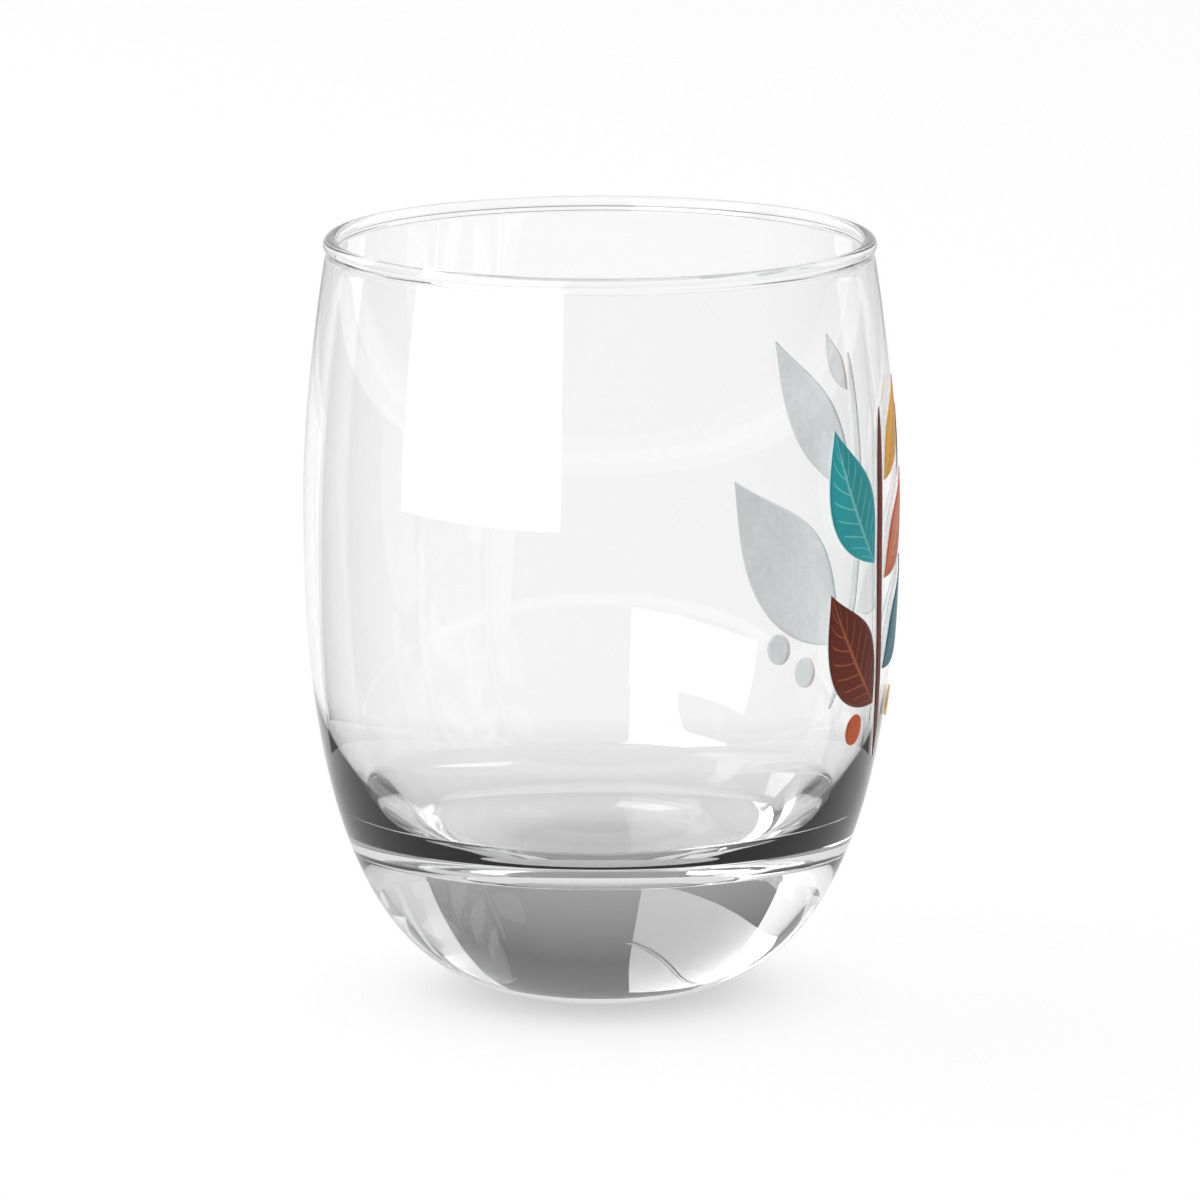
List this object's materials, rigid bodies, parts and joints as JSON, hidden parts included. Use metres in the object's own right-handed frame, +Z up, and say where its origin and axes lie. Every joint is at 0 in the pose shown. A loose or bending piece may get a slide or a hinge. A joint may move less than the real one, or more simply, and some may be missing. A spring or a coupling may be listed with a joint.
{
  "type": "whisky glass",
  "caption": "Barrel-shaped whisky tumbler of clear moulded glass with a thick solid base, a thin wall, a rounded rim bead and a leafy sprig printed on its side.",
  "frame": {"origin": "centre of the flat foot, on the surface that the glass stands on", "axes": "+Z up along the glass's axis, towards the rim; the middle of the print faces -Y"},
  "size_m": [0.0646, 0.0649, 0.0831],
  "materials": {
    "glass": "clear, fire-polished",
    "under_print": "white under-print ink, satin",
    "ink_teal": "printed ink, satin",
    "ink_dark_teal": "printed ink, satin",
    "ink_rust": "printed ink, satin",
    "ink_orange": "printed ink, satin",
    "ink_gold": "printed ink, satin"
  },
  "bodies": {
    "root": {"glass_body": "glass", "white_under_stem_left": "under_print", "stem_left": "ink_rust", "white_under_leaf_rust_left": "under_print", "leaf_rust_left": "ink_rust", "white_under_leaf_teal_left": "under_print", "leaf_teal_left": "ink_teal", "white_under_leaf_dark_teal_left": "under_print", "leaf_dark_teal_left": "ink_dark_teal", "white_under_leaf_orange_left": "under_print", "leaf_orange_left": "ink_orange", "white_under_leaf_gold_left": "under_print", "leaf_gold_left": "ink_gold", "white_under_berry_gold_left": "under_print", "berry_gold_left": "ink_gold", "white_under_berry_orange_left": "under_print", "berry_orange_left": "ink_orange", "white_under_stem_right": "under_print", "stem_right": "ink_dark_teal", "white_under_leaf_teal_right": "under_print", "leaf_teal_right": "ink_teal", "white_under_leaf_dark_teal_right": "under_print", "leaf_dark_teal_right": "ink_dark_teal", "white_under_leaf_gold_right": "under_print", "leaf_gold_right": "ink_gold", "white_under_leaf_rust_right": "under_print", "leaf_rust_right": "ink_rust", "white_under_leaf_orange_right": "under_print", "leaf_orange_right": "ink_orange", "white_under_berry_teal_right": "under_print", "berry_teal_right": "ink_teal", "white_under_berry_orange_right": "under_print", "berry_orange_right": "ink_orange", "white_under_berry_gold_right": "under_print", "berry_gold_right": "ink_gold"}
  },
  "joints": []
}
